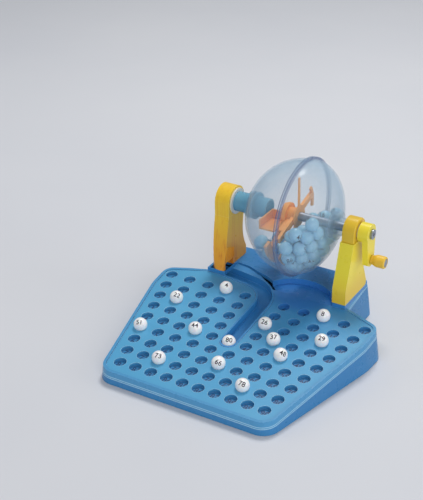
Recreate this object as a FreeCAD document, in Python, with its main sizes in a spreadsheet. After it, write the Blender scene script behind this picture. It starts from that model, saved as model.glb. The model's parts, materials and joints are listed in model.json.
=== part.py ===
"""Bingo cage: a clear globe on two uprights behind a sloping board with ninety number sockets.

Frame: millimetres, +Z up, -Y towards the player, +X to the crank side.  The origin is the centre
of the underside.  Every driving size sits in the spreadsheet called Sizes.
"""
import FreeCAD, Part
import math
import os
import random

V = FreeCAD.Vector
Rotation = FreeCAD.Rotation
Placement = FreeCAD.Placement

SIZES = (
    # tray and board
    ("frontedge", 110.0, "half the depth of the base"),
    ("draft", 7.5, "lean of the tray walls in degrees"),
    ("fronthalf", 82.0, "half width at the front edge"),
    ("sidehalf", 111.6, "half width where the sides stop flaring"),
    ("sidebreak", 15.0, "y where the sides stop flaring"),
    ("cornerhalf", 113.0, "half width at the rear corner of a wing"),
    ("cornerback", 44.0, "y of the rear corner of a wing"),
    ("wingback", 58.8, "y where a wing meets the platform"),
    ("trayfloor", 2.0, "thickness of the tray floor"),
    ("traywall", 2.6, "thickness of the tray wall"),
    ("rim", 0.8, "height of the tray rim above the deck"),
    ("fitgap", 0.2, "gap between mouldings that sit in each other"),
    ("rownine", -93.0, "y of the front row of sockets"),
    ("decklevel", 13.0, "height of the deck at the front row"),
    ("tilt", 6.5, "slope of the deck in degrees"),
    ("boardthick", 4.6, "thickness of the number board"),
    ("pitch", 16.0, "spacing of the rows of sockets"),
    ("socketwide", 11.0, "diameter of a number socket"),
    ("socketdeep", 3.4, "depth of a number socket"),
    ("fanbase", 4.362, "half width of the front row of sockets, in pitches"),
    ("fanstep", 0.227, "what each row further back adds to that"),
    # platform
    ("platformhalf", 71.0, "half width of the platform at its top"),
    ("platformfoot", 75.0, "half width of the tray under the platform"),
    ("platformback", 106.0, "y of the back edge of the platform at its top"),
    ("platformfront", 53.4, "y of the platform's front edge"),
    ("platformtop", 34.0, "height of the platform"),
    ("lidthick", 4.0, "thickness of the platform lid"),
    ("bitecentre", 25.0, "x of the centre of the round recess"),
    ("bitey", 43.0, "y of the centre of the round recess"),
    ("bitewide", 35.0, "radius of the round recess"),
    ("bitefloor", 28.5, "height of the floor of the round recess"),
    # balls and chute
    ("ballwide", 12.2, "diameter of a ball"),
    ("groovewide", 13.2, "width of the chute"),
    ("groovedeep", 6.8, "depth of the chute below the deck"),
    ("chutewall", 1.5, "wall of the chute"),
    ("chuteturn", 29.0, "radius of the chute's bend, at its middle"),
    ("chutestart", 62.6, "y of the middle of the chute at its upper end"),
    ("chutecorner", 53.0, "y where the two straight lines of the chute would meet"),
    # globe
    ("globex", 15.0, "x of the seam of the globe"),
    ("axley", 77.5, "y of the axle"),
    ("axlez", 97.0, "height of the axle"),
    ("globewide", 52.6, "radius of the globe at its seam"),
    ("globeleft", 52.0, "depth of the left half of the globe along the axle"),
    ("globeright", 33.5, "depth of the right half of the globe along the axle"),
    ("domewall", 1.6, "wall of a dome"),
    ("flangewide", 54.8, "radius of the seam flange"),
    ("flangethick", 1.5, "thickness of one seam flange"),
    ("tubewide", 9.2, "outer radius of the outlet tube"),
    ("tubebore", 7.3, "bore radius of the outlet tube"),
    # uprights
    ("leftouter", -68.4, "x of the left upright's outer face"),
    ("leftinner", -53.6, "x of the left upright's inner face"),
    ("leftwall", 1.15, "side wall of the left upright"),
    ("leftsplit", 85.2, "height where the left head sits on its column"),
    ("rightinner", 58.0, "x of the right upright's inner face"),
    ("rightouter", 71.0, "x of the right upright's outer face"),
    ("rightsplit", 89.0, "height where the right head sits on its column"),
    # drive
    ("axlewide", 4.0, "radius of the drive axle"),
    ("running", 0.05, "radial clearance of a turning fit"),
    ("hubwide", 8.0, "radius of the drive hub"),
    ("crankdrop", 26.4, "distance from the axle to the grip"),
    ("bosswide", 9.0, "radius of the crank's boss"),
    ("gripwide", 5.6, "radius of the grip"),
    ("pinwide", 2.0, "radius of the grip pin"),
    ("screwhead", 2.8, "radius of a screw head"),
    ("screwshank", 1.4, "radius of a screw shank"),
)

doc = FreeCAD.newDocument("bingo_cage")
sheet = doc.addObject("Spreadsheet::Sheet", "Sizes")
for row, (alias, number, meaning) in enumerate(SIZES, start=1):
    sheet.set(f"A{row}", meaning)
    sheet.set(f"B{row}", str(number))
    sheet.setAlias(f"B{row}", alias)
doc.recompute()

NODES = []          # the sub-parts, in the order they are made
ALONG_X = Rotation(V(0, 1, 0), 90)         # local Z turned to +X
SIDE_VIEW = Rotation(V(1, 1, 1), 120)      # local X, Y, Z turned to Y, Z, X
REACH = 300.0       # longer than anything on the object, for cutting tools


def val(alias):
    """The number in a cell of the spreadsheet."""
    return float(sheet.get(alias))


def bind(thing, sizes):
    """Set each size to a number, or tie it to the spreadsheet by a formula."""
    for name, size in sizes.items():
        if isinstance(size, str):
            thing.setExpression(name, size)
        else:
            setattr(thing, name, size)


def node(thing, label):
    """Name a finished sub-part."""
    thing.Label = label
    NODES.append(thing)
    return thing


def box(name, low, size):
    """A block from its lowest corner."""
    block = doc.addObject("Part::Box", name)
    bind(block, dict(zip(("Length", "Width", "Height"), size)))
    block.Placement = Placement(V(*low), Rotation())
    return block


def rod(name, radius, length, start, turn=ALONG_X):
    """A round bar that starts at a point and runs along X, or along another direction."""
    bar = doc.addObject("Part::Cylinder", name)
    bind(bar, {"Radius": radius, "Height": length})
    bar.Placement = Placement(V(*start), turn)
    return bar


def upright_rod(name, radius, length, start):
    """A round bar that starts at a point and runs up."""
    return rod(name, radius, length, start, Rotation())


def cut(name, base, tool):
    """The first solid without the second."""
    result = doc.addObject("Part::Cut", name)
    result.Base = base
    result.Tool = tool
    return result


def fuse(name, solids):
    """Several solids as one."""
    result = doc.addObject("Part::MultiFuse", name)
    result.Shapes = solids
    result.Refine = True
    return result


def common(name, solids):
    """What several solids share."""
    result = doc.addObject("Part::MultiCommon", name)
    result.Shapes = solids
    return result


def group(name, solids):
    """Separate solids under one name."""
    result = doc.addObject("Part::Compound", name)
    result.Links = solids
    return result


def round_loop(points):
    """Closed outline through (x, y, radius) corners: straight edges joined by arcs."""
    count = len(points)
    starts, ends, arcs = [], [], []
    for i, (x, y, radius) in enumerate(points):
        here = V(x, y, 0)
        before = V(points[i - 1][0], points[i - 1][1], 0) - here
        after = V(points[(i + 1) % count][0], points[(i + 1) % count][1], 0) - here
        before.normalize()
        after.normalize()
        half = before.getAngle(after) / 2
        if radius <= 0:
            starts.append(here)
            ends.append(here)
            continue
        reach = radius / math.tan(half)
        middle = before + after
        middle.normalize()
        nearest = here + middle * (radius / math.sin(half) - radius)
        starts.append(here + before * reach)
        ends.append(here + after * reach)
        arcs.append(Part.Arc(starts[-1], nearest, ends[-1]))
    lines = []
    for i in range(count):
        first, second = ends[i], starts[(i + 1) % count]
        if first.distanceToPoint(second) > 1e-6:
            lines.append(Part.LineSegment(first, second))
    return lines + arcs


def inset(points, depth):
    """The same outline moved inwards, for corners listed anticlockwise."""
    result = []
    count = len(points)
    for i, (x, y, radius) in enumerate(points):
        here = V(x, y, 0)
        back = here - V(points[i - 1][0], points[i - 1][1], 0)
        ahead = V(points[(i + 1) % count][0], points[(i + 1) % count][1], 0) - here
        back.normalize()
        ahead.normalize()
        left_back = V(-back.y, back.x, 0)
        left_ahead = V(-ahead.y, ahead.x, 0)
        shift = (left_back + left_ahead) * (depth / (1 + left_back.dot(left_ahead)))
        turns_left = back.cross(ahead).z > 0
        new_radius = max(radius - depth, 0) if turns_left else radius + depth
        moved = here + shift
        result.append((moved.x, moved.y, new_radius if radius > 0 else 0))
    return result


def prism(name, curves, length, placement):
    """A sketch pushed along its own normal."""
    sketch = doc.addObject("Sketcher::SketchObject", name + "_sketch")
    sketch.Placement = placement
    for curve in curves:
        sketch.addGeometry(curve, False)
    solid = doc.addObject("Part::Extrusion", name)
    solid.Base = sketch
    solid.DirMode = "Normal"
    solid.Solid = True
    bind(solid, {"LengthFwd": length})
    return solid


def at_height(height):
    return Placement(V(0, 0, height), Rotation())


def side_view(offset):
    """Sketch plane seen from +X, at a distance along X: its axes are Y and Z."""
    return Placement(V(offset, 0, 0), SIDE_VIEW)


def on_deck(height):
    """Sketch plane parallel to the sloping deck, at a height above it."""
    turn = Rotation(V(1, 0, 0), val("tilt"))
    return Placement(V(0, val("rownine"), val("decklevel")) + turn.multVec(V(0, 0, height)), turn)


def deck_along(along):
    """Distance up the slope from the front row to a point of the deck at this y."""
    return (along - val("rownine")) / math.cos(math.radians(val("tilt")))


def above_deck(name, height):
    """Block that fills everything above a plane parallel to the deck."""
    block = doc.addObject("Part::Box", name)
    bind(block, {"Length": REACH, "Width": REACH, "Height": REACH / 2})
    place = on_deck(height)
    back = deck_along(val("wingback"))
    block.Placement = Placement(place.multVec(V(-REACH / 2, back - REACH, 0)), place.Rotation)
    return block


# ---------------------------------------------------------------- screws
SCREW_SEAT = 4.0       # height of the seat for a screw head under the base
HEAD_TALL = 1.8
BOSS_WIDE = 4.6
PILOT_GAP = 0.06


def screw(name, x, y, seat, tip):
    """A pan-head screw driven upwards: the head hangs under its seat."""
    head = upright_rod(name + "_head", "Sizes.screwhead", HEAD_TALL, (x, y, seat - HEAD_TALL))
    shank = upright_rod(name + "_shank", "Sizes.screwshank", tip - seat, (x, y, seat))
    return fuse(name, [head, shank])


def screw_hole(name, x, y, seat, top):
    """Clearance for a screw: a wide mouth for the head and a narrow bore."""
    mouth = upright_rod(name + "_mouth", "Sizes.screwhead + 0.3", seat + 1, (x, y, -1))
    bore = upright_rod(name + "_bore", f"Sizes.screwshank + {PILOT_GAP}", top - seat + 2, (x, y, seat - 1))
    return fuse(name, [mouth, bore])


BOARD_SCREWS = ((0, 8), (-60, 8), (60, 8), (-72, 72), (72, 72), (-85, 120), (85, 120))   # x, up the slope
LID_SCREWS = ((-40, 97), (40, 97), (-14, 84), (64.0, 75))
board_screw_places = []
for x, slope in BOARD_SCREWS:
    point = on_deck(-val("boardthick")).multVec(V(x, slope, 0))
    board_screw_places.append((x, point.y, point.z))


# ---------------------------------------------------------------- tray
def outline():
    """Plan of the base where it stands, anticlockwise from the front right corner."""
    right = [
        (val("fronthalf"), -val("frontedge"), 16),
        (val("sidehalf"), val("sidebreak"), 60),
        (val("cornerhalf"), val("cornerback"), 15),
        (val("platformfoot"), val("wingback"), 0),
        (val("platformfoot"), val("frontedge"), 9),
    ]
    return right + [(-x, y, radius) for x, y, radius in reversed(right)]


def leaning(name, depth, length, height):
    """The plan of the base moved inwards and drawn up with leaning sides, from a height above the table."""
    lean = height * math.tan(math.radians(val("draft")))
    solid = prism(name, round_loop(inset(outline(), depth + lean)), length, at_height(height))
    solid.setExpression("TaperAngle", "-Sizes.draft")
    return solid


shell = leaning("tray_block", 0, "Sizes.platformtop - Sizes.lidthick", 0)
hollow = leaning("tray_hollow", val("traywall"), "Sizes.platformtop", val("trayfloor"))
walls = cut("tray_walls", cut("tray_shell", shell, hollow), above_deck("over_rim", val("rim")))
boss_parts = []
boss_holes = []
for i, (x, y, top) in enumerate(board_screw_places):
    boss = upright_rod(f"board_boss_{i}", BOSS_WIDE, REACH / 4, (x, y, 0))
    over_boss = above_deck(f"over_boss_{i}", -val("boardthick") - 0.05)
    boss_parts.append(cut(f"board_boss_cut_{i}", boss, over_boss))
    boss_holes.append(screw_hole(f"board_hole_{i}", x, y, SCREW_SEAT, top))
lid_bottom = val("platformtop") - val("lidthick")
for i, (x, y) in enumerate(LID_SCREWS):
    boss_parts.append(upright_rod(f"lid_boss_{i}", BOSS_WIDE, lid_bottom - 0.05, (x, y, 0)))
    boss_holes.append(screw_hole(f"lid_hole_{i}", x, y, SCREW_SEAT, lid_bottom))
tray_solid = fuse("tray_solid", [walls] + boss_parts)
node(cut("tray", tray_solid, fuse("tray_holes", boss_holes)), "base_tray")


# ---------------------------------------------------------------- chute
def chute_loop(half, start, end_gap):
    """Plan of the chute on the deck: in from the left upright, round the bend, down to the stop."""
    corner = deck_along(val("chutecorner"))
    begin = deck_along(val("chutestart"))
    run = V(-start, corner - begin, 0)
    run.normalize()
    side = V(-run.y, run.x, 0)
    stop = 4 * val("pitch") - half - end_gap

    def on_line(offset, x):
        base = V(start, begin, 0) + side * offset
        return base.y + (x - base.x) * run.y / run.x

    return round_loop([
        (start, on_line(-half, start), 0),
        (-half, on_line(-half, -half), val("chuteturn") - half),
        (-half, stop, half * 0.98),
        (half, stop, half * 0.98),
        (half, on_line(half, half), val("chuteturn") + half),
        (start, on_line(half, start), 0),
    ])


GROOVE_HALF = val("groovewide") / 2
CHUTE_HALF = GROOVE_HALF + val("chutewall")
CHUTE_END = -67.2          # x of the closed end, under the left upright
CHUTE_LIP = 0.5
CHUTE_FLOOR = 1.5
under_chute = val("groovedeep") + CHUTE_FLOOR
trough = prism("trough_block", chute_loop(CHUTE_HALF, CHUTE_END, 0),
               f"Sizes.groovedeep + {CHUTE_FLOOR + CHUTE_LIP}", on_deck(-under_chute))
groove = prism("trough_groove", chute_loop(GROOVE_HALF, CHUTE_END + val("chutewall"), 0),
               "Sizes.groovedeep + 10", on_deck(-val("groovedeep")))
CUSP = (-8.6, 59.4)        # tip of the platform between the chute and the round recess
# the platform edge that swings over the chute, from the left upright to the cusp
APRON = ((-52.6, 76.4, 2), (-38.0, 74.6, 14), (-22.0, 68.0, 30))


def deck_slab(name, thick, size):
    """A sheet as wide as the deck, lying in its surface, this thick."""
    sheet_block = doc.addObject("Part::Box", name)
    bind(sheet_block, {"Length": REACH, "Width": REACH, "Height": size})
    place = on_deck(-thick)
    sheet_block.Placement = Placement(place.multVec(V(-REACH / 2, -40, 0)), place.Rotation)
    return sheet_block


APRON_THICK = 3.0
apron_gap = 2 * val("fitgap")
apron_left = APRON[0][0] + apron_gap
apron_loop = [(apron_left, val("platformfront"), 0), (CUSP[0] - apron_gap, val("platformfront"), 0),
              (CUSP[0] - apron_gap, CUSP[1] - apron_gap, 0)]
apron_loop += [(x, y - apron_gap, radius) for x, y, radius in reversed(APRON[1:])]
apron_loop.append((apron_left, APRON[0][1] - apron_gap, 1))
apron = common("chute_apron", [prism("apron_plan", round_loop(apron_loop), REACH, at_height(0)),
                               deck_slab("apron_slab", APRON_THICK, APRON_THICK)])
under_lid = box("under_lid", (CHUTE_END - 1, val("platformfront") - 1, lid_bottom - 0.15),
                (APRON[0][0] + 0.2 - CHUTE_END + 1, REACH, 10))
node(cut("trough", fuse("trough_solid", [trough, apron]), fuse("trough_tools", [groove, under_lid])),
     "ball_chute")

# ---------------------------------------------------------------- number board
def socket_places():
    """Centres of the ninety sockets on the deck, row by row from the back, left to right."""
    places = []
    for rank in range(9):
        ahead = 8 - rank
        half = (val("fanbase") + val("fanstep") * ahead) * val("pitch")
        for place in range(10):
            if rank < 5:
                steps = (place - 5) / 5 if place < 5 else (place - 4) / 5
            else:
                steps = (place - 4.5) / 4.5
            places.append((half * steps, ahead * val("pitch")))
    return places


board_plan = leaning("board_plan", val("traywall") + val("fitgap"), "Sizes.platformtop", val("trayfloor"))
board_slab = deck_slab("board_slab", val("boardthick"), "Sizes.boardthick")
board_limit_start = (-REACH / 2, val("platformfront") - val("fitgap") - REACH, 0)
board_limit = box("board_limit", board_limit_start, (REACH, REACH, REACH))
board_block = common("board_block", [board_plan, board_slab, board_limit])
sockets = prism("board_sockets", [
    Part.Circle(V(x, y, 0), V(0, 0, 1), val("socketwide") / 2) for x, y in socket_places()],
    "Sizes.socketdeep + 5", on_deck(-val("socketdeep")))
chute_slot = prism("board_slot", chute_loop(CHUTE_HALF + val("fitgap"), CHUTE_END, 0), 40, on_deck(-20))
pilots = [upright_rod(f"board_pilot_{i}", f"Sizes.screwshank + {PILOT_GAP}", 3.6, (x, y, top - 0.6))
          for i, (x, y, top) in enumerate(board_screw_places)]
node(cut("board", board_block, fuse("board_tools", [sockets, chute_slot] + pilots)), "number_board")

# ---------------------------------------------------------------- platform lid
front = val("platformfront")
lid_plan = [
    (val("platformhalf"), front, 0), (val("platformhalf"), val("platformback"), 7),
    (-val("platformhalf"), val("platformback"), 7), (-val("platformhalf"), front, 0),
    (APRON[0][0], front, 0), APRON[0], APRON[1], APRON[2], (CUSP[0], CUSP[1], 0), (CUSP[0], front, 0),
]
lid_plate = prism("lid_plate", round_loop(lid_plan), "Sizes.lidthick", at_height(lid_bottom))
CUP_WALL = 2.0
LIP_DEEP = 5.6
lip_length = val("platformhalf") - val("traywall") - 1.5 - CUSP[0]
lip = box("lid_lip", (CUSP[0], front, lid_bottom - LIP_DEEP + 2), (lip_length, CUP_WALL, LIP_DEEP - 1))
cup_round = upright_rod("cup_round", f"Sizes.bitewide + {CUP_WALL}", "Sizes.platformtop - Sizes.bitefloor",
                        (val("bitecentre"), val("bitey"), val("bitefloor") - CUP_WALL))
cup = common("cup", [cup_round, box("cup_limit", (CUSP[0], front, 0), (REACH, REACH, REACH))])
bite = upright_rod("bite", "Sizes.bitewide", 20, (val("bitecentre"), val("bitey"), val("bitefloor")))
ball_hole = box("ball_hole", (val("leftouter") - 0.6, front + 0.4, lid_bottom - 1), (16.2, 19.0, 10))
UPRIGHT_SCREWS = ((64.0, 59.5), (64.0, 91.5), (-64.6, 91.0), (-57.6, 91.0))
lid_slot = prism("lid_slot", chute_loop(CHUTE_HALF + val("fitgap"), -30, 0), 30, on_deck(-12))
lid_tools = [bite, ball_hole, lid_slot]
for i, (x, y) in enumerate(UPRIGHT_SCREWS):
    lid_tools.append(upright_rod(f"upright_clear_{i}", "Sizes.screwshank + 0.2", 10, (x, y, lid_bottom - 2)))
for i, (x, y) in enumerate(LID_SCREWS):
    pilot = upright_rod(f"lid_pilot_{i}", f"Sizes.screwshank + {PILOT_GAP}", 4, (x, y, lid_bottom - 1))
    lid_tools.append(pilot)
lid_solid = fuse("lid_solid", [lid_plate, lip, cup])
node(cut("lid", lid_solid, fuse("lid_tools", lid_tools)), "cage_platform")

# ---------------------------------------------------------------- left upright
top = val("platformtop") + 0.02
LEFT_HEAD_WIDE = 14.2      # radius of the round left head
HEAD_FRONT = val("axley") - LEFT_HEAD_WIDE
HEAD_BACK = val("axley") + LEFT_HEAD_WIDE
left_side = [
    (53.4, top, 0), (98.0, top, 3), (97.0, 40.0, 6), (87.6, 58.0, 40), (HEAD_BACK, val("leftsplit"), 0),
    (HEAD_FRONT, val("leftsplit"), 0), (58.5, 56.0, 60),
]
left_plan = [
    (val("leftinner"), 50, 2), (val("leftinner"), 100, 3),
    (val("leftouter"), 100, 4), (val("leftouter"), 50, 9),
]
left_plan = [(x, y + (3.4 if y < 60 else -2), radius) for x, y, radius in left_plan]


def left_shell(name, side, inside, bottom):
    """A hollow piece of the left upright: side view and plan together, less the ball passage."""
    body = common(name + "_body", [
        prism(name + "_side", round_loop(side), "Sizes.leftinner - Sizes.leftouter",
              side_view(val("leftouter"))),
        prism(name + "_plan", round_loop(left_plan), REACH, at_height(bottom)),
    ])
    passage = common(name + "_passage", [
        prism(name + "_inside", round_loop(inside), "Sizes.leftinner - Sizes.leftouter",
              side_view(val("leftouter"))),
        prism(name + "_inner_plan", round_loop(inset(left_plan, val("leftwall"))), REACH, at_height(bottom)),
    ])
    return body, passage


LEFT_SKIN = 2.0            # front and back walls of the left upright
left_inside = [
    (56.6, top - 1, 0), (70.6, top - 1, 0), (70.6, 38.0, 1), (84.4, 50.0, 4),
    (HEAD_BACK - LEFT_SKIN, val("leftsplit") + 1, 0),
    (HEAD_FRONT + LEFT_SKIN, val("leftsplit") + 1, 0), (61.2, 56.0, 50),
]
column, passage = left_shell("left_column", left_side, left_inside, 0)
ball_exit = box("ball_exit", (val("leftinner") - 3, 56.6, top - 1), (6, 14.0, 7.5))
left_pilots = [upright_rod(f"left_pilot_{i}", f"Sizes.screwshank + {PILOT_GAP}", 8, (x, y, top - 1))
               for i, (x, y) in enumerate(UPRIGHT_SCREWS) if x < 0]
node(cut("left_upright_cut", column, fuse("left_column_tools", [passage, ball_exit] + left_pilots)),
     "left_upright")

head_base = val("leftsplit") + 0.05


def head_loop(base, wide):
    """Side view of a head: straight sides up to the axle and round above it."""
    front, back = val("axley") - wide, val("axley") + wide
    corner = wide * 0.98
    top_of_head = val("axlez") + wide
    return [(front, base, 0), (back, base, 0), (back, top_of_head, corner), (front, top_of_head, corner)]


left_head_side = head_loop(head_base, LEFT_HEAD_WIDE)
left_head_inside = head_loop(head_base - 1, LEFT_HEAD_WIDE - LEFT_SKIN)
head, head_passage = left_shell("left_head", left_head_side, left_head_inside, 0)
BUSH_WALL = 1.2
bush_hole = rod("bush_hole", f"Sizes.tubewide + {BUSH_WALL + 0.05}", 6,
                (val("leftinner") - 3, val("axley"), val("axlez")))
node(cut("left_head_cut", head, fuse("left_head_tools", [head_passage, bush_hole])), "left_head")


def bush(name, label, shaft, wall_start, length, flange_start, flange):
    """A flanged plain bearing on the axle line."""
    start = (wall_start, val("axley"), val("axlez"))
    sleeve = rod(name + "_sleeve", f"{shaft} + {BUSH_WALL}", length, start)
    collar = rod(name + "_collar", f"{shaft} + {BUSH_WALL + 1.8}", flange,
                 (flange_start, val("axley"), val("axlez")))
    bore = rod(name + "_bore", f"{shaft} + Sizes.running", 60, (wall_start - 20, *start[1:]))
    return node(cut(name, fuse(name + "_body", [sleeve, collar]), bore), label)


bush("left_bush", "tube_bush", "Sizes.tubewide", val("leftinner") - 1.5, 3.1, val("leftinner") + 0.02, 1.6)

# ---------------------------------------------------------------- right upright
right_side = [
    (52.8, top, 0), (98.0, top, 3), (97.0, 40.0, 6), (88.6, 58.0, 30),
    (val("axley") + 11.4, val("rightsplit"), 0),
    (64.2, val("rightsplit"), 0), (58.6, 68.0, 60), (52.4, 48.0, 20),
]
right_hollow = [
    (64.5, top - 1, 0), (85.0, top - 1, 0), (81.0, 50.0, 8), (80.6, 84.0, 2), (69.0, 84.0, 2),
    (62.0, 60.0, 10),
]
right_column = prism("right_column", round_loop(right_side), "Sizes.rightouter - Sizes.rightinner",
                     side_view(val("rightinner")))
right_pocket = prism("right_pocket", round_loop(right_hollow), "Sizes.rightouter - Sizes.rightinner - 4.4",
                     side_view(val("rightinner") + 2.2))
right_pilots = [upright_rod(f"right_pilot_{i}", f"Sizes.screwshank + {PILOT_GAP}", 8, (x, y, top - 1))
                for i, (x, y) in enumerate(UPRIGHT_SCREWS) if x > 0]
node(cut("right_upright_cut", right_column, fuse("right_tools", [right_pocket] + right_pilots)),
     "right_upright")

RIGHT_HEAD_WIDE = 12.0     # radius of the round right head
HEAD_SIDE = 0.5            # the right head is this much narrower than its column on each side
right_head_base = val("rightsplit") + 0.05
right_head_side = head_loop(right_head_base, RIGHT_HEAD_WIDE)
right_head = prism("right_head_block", round_loop(right_head_side),
                   f"Sizes.rightouter - Sizes.rightinner - {2 * HEAD_SIDE}",
                   side_view(val("rightinner") + HEAD_SIDE))
axle_hole = rod("axle_hole", f"Sizes.axlewide + {BUSH_WALL + 0.05}", 30,
                (val("rightinner") - 5, val("axley"), val("axlez")))
node(cut("right_head_cut", right_head, axle_hole), "right_head")
right_flange_at = val("rightouter") - HEAD_SIDE + 0.02
bush("right_bush", "axle_bush", "Sizes.axlewide", val("rightinner") + 0.6, 12.0, right_flange_at, 0.9)


# ---------------------------------------------------------------- globe
def dome(name, label, side, hole):
    """Half of the globe, turned about the axle: an oval shell with a seam flange and a hole at its pole."""
    wide, wall = val("globewide"), val("domewall")
    half = val("globeleft") if side > 0 else val("globeright")
    flange, thick = val("flangewide"), val("flangethick")
    gap = 0.02                                  # the two flanges meet with a hairline between them
    body = doc.addObject("PartDesign::Body", name)
    sketch = body.newObject("Sketcher::SketchObject", name + "_sketch")
    plane = [feature for feature in body.Origin.OriginFeatures if feature.Role == "XY_Plane"][0]
    sketch.AttachmentSupport = (plane, [""])
    sketch.MapMode = "FlatFace"

    def oval(radius, depth, angle):
        return V(-side * depth * math.sin(angle), radius * math.cos(angle), 0)

    def oval_arc(radius, depth, begin, end):
        shape = Part.Ellipse(V(0, radius, 0), V(-depth, 0, 0), V(0, 0, 0))
        first, last = (begin, end) if side > 0 else (-end, -begin)
        return Part.ArcOfEllipse(shape, first, last)

    in_pole = math.acos(hole / (wide - wall))
    out_pole = math.acos(hole / wide)
    in_seam = math.asin(gap / (half - wall))
    out_seam = math.asin((thick + gap) / half)
    corners = [oval(wide, half, out_seam), V(-side * (thick + gap), flange, 0), V(-side * gap, flange, 0),
               oval(wide - wall, half - wall, in_seam)]
    for first, second in zip(corners, corners[1:]):
        sketch.addGeometry(Part.LineSegment(first, second), False)
    sketch.addGeometry(oval_arc(wide - wall, half - wall, in_seam, in_pole), False)
    pole_edge = Part.LineSegment(oval(wide - wall, half - wall, in_pole), oval(wide, half, out_pole))
    sketch.addGeometry(pole_edge, False)
    sketch.addGeometry(oval_arc(wide, half, out_seam, out_pole), False)
    turn = body.newObject("PartDesign::Revolution", name + "_turn")
    turn.Profile = sketch
    turn.ReferenceAxis = (sketch, ["H_Axis"])
    turn.Angle = 360
    body.Placement = Placement(V(val("globex"), val("axley"), val("axlez")), Rotation())
    body.Tip = turn
    return node(body, label)


dome("left_half", "left_dome", 1, val("tubewide") + 0.1)
dome("right_half", "right_dome", -1, val("hubwide") + 0.1)


def on_axle(x):
    return (x, val("axley"), val("axlez"))


def ring(name, outer, inner, start, length):
    """A washer on the axle line."""
    return cut(name, rod(name + "_outer", outer, length, on_axle(start)),
               rod(name + "_inner", inner, length + 2, on_axle(start - 1)))


left_pole = val("globex") - val("globeleft")
right_pole = val("globex") + val("globeright")

# outlet tube: open at both ends, with a flange against the dome and a wing at its inner end
TUBE_START = -56.6
TUBE_END = -19.0
tube_outer = rod("tube_outer", "Sizes.tubewide", TUBE_END - TUBE_START, on_axle(TUBE_START))
tube_flange = rod("tube_flange", "Sizes.tubewide + 3.3", 2.0, on_axle(left_pole - 1.7))
wing = box("tube_wing", (TUBE_END - 3.4, val("axley") - 6.0, val("axlez") - 18.0), (2.0, 12.0, 18.0))
wing_foot_start = (TUBE_END - 3.4, val("axley") - 6.0, val("axlez") - 19.4)
wing_foot = box("tube_wing_foot", wing_foot_start, (4.8, 12.0, 1.6))
tube_hole = rod("tube_hole", "Sizes.tubebore", 60, on_axle(TUBE_START - 5))
node(cut("tube", fuse("tube_body", [tube_outer, tube_flange, wing, wing_foot]), tube_hole), "outlet_tube")
node(ring("tube_ring", "Sizes.tubewide + 3.3", "Sizes.tubewide + 0.05", left_pole + 3.7, 2.0), "tube_nut")

# drive hub and its clamp ring on the crank side
HUB_END = 58.0
hub_body = rod("hub_body", "Sizes.hubwide", HUB_END - right_pole + 5.0, on_axle(right_pole - 5.0))
hub_flange = rod("hub_flange", "Sizes.hubwide + 5", 2.0, on_axle(right_pole + 0.3))
hub_bore = rod("hub_bore", "Sizes.axlewide + 0.05", 40, on_axle(right_pole - 20))
node(cut("hub", fuse("hub_solid", [hub_body, hub_flange]), hub_bore), "drive_hub")
node(ring("hub_ring", "Sizes.hubwide + 4", "Sizes.hubwide + 0.05", right_pole - 5.0, 1.9), "hub_nut")

# drive axle
AXLE_START = -2.0
AXLE_END = 81.6
SCREW_DEEP = 10.0
axle_bar = rod("axle_bar", "Sizes.axlewide", AXLE_END - AXLE_START, on_axle(AXLE_START))
tap_wide = f"Sizes.screwshank + {PILOT_GAP}"
axle_tap = rod("axle_tap", tap_wide, SCREW_DEEP + 1, on_axle(AXLE_END - SCREW_DEEP))
node(cut("axle", axle_bar, axle_tap), "drive_axle")


# ---------------------------------------------------------------- mixer
def around(radius, degrees):
    """Point in the side view, at a radius and an angle about the axle."""
    angle = math.radians(degrees)
    return val("axley") + radius * math.cos(angle), val("axlez") + radius * math.sin(angle)


def arc_bar(name, x, thick, inner, outer, begin, end):
    """A curved bar about the axle, between two radii and two angles."""
    corners = [around(inner, begin), around(outer, begin), around(outer, end), around(inner, end)]
    middle = (begin + end) / 2

    def arc(radius, first, last):
        return Part.Arc(*[V(*around(radius, degrees), 0) for degrees in (first, middle, last)])

    def line(first, last):
        return Part.LineSegment(V(*first, 0), V(*last, 0))

    curves = [line(corners[0], corners[1]), arc(outer, begin, end), line(corners[2], corners[3]),
              arc(inner, begin, end)]
    return prism(name, curves, thick, side_view(x))


def radial_bar(name, x, thick, near, far, degrees, near_wide, far_wide):
    """A straight bar in the side view from one radius to another, tapering if its ends differ."""
    angle = math.radians(degrees)
    along = V(math.cos(angle), math.sin(angle), 0)
    side = V(-along.y, along.x, 0)
    centre = V(val("axley"), val("axlez"), 0)
    corners = [centre + along * near - side * near_wide, centre + along * far - side * far_wide,
               centre + along * far + side * far_wide, centre + along * near + side * near_wide]
    round_corners = [(corner.x, corner.y, 0.6) for corner in corners]
    return prism(name, round_loop(round_corners), thick, side_view(x))


BLADE_TILT = 197.0         # the blade points forwards and a little down
HUB_WIDE = 7.0
mixer_boss = rod("mixer_boss", HUB_WIDE, 13.1, on_axle(-1.5))
mixer_bore = rod("mixer_bore", "Sizes.axlewide + 0.05", 40, on_axle(-20))
blade_front = radial_bar("blade_front", 6.5, 3.0, 3.0, 36.0, BLADE_TILT, 3.4, 2.4)
blade_back = radial_bar("blade_back", 6.5, 3.0, 3.0, 33.0, BLADE_TILT - 180, 3.4, 2.4)
blade_tip = arc_bar("blade_tip", 7.0, 2.0, 30.5, 33.5, -6.0, 30.0)
rib = radial_bar("blade_rib", 5.75, 4.1, 3.0, 30.0, BLADE_TILT, 1.0, 1.0)
paddle = radial_bar("blade_paddle", 2.1, 7.6, 3.0, 24.0, BLADE_TILT, 1.3, 1.3)
mixer_parts = [mixer_boss, blade_front, blade_back, blade_tip, rib, paddle]
node(cut("mixer", fuse("mixer_solid", mixer_parts), mixer_bore), "mixer_blade")


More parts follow.
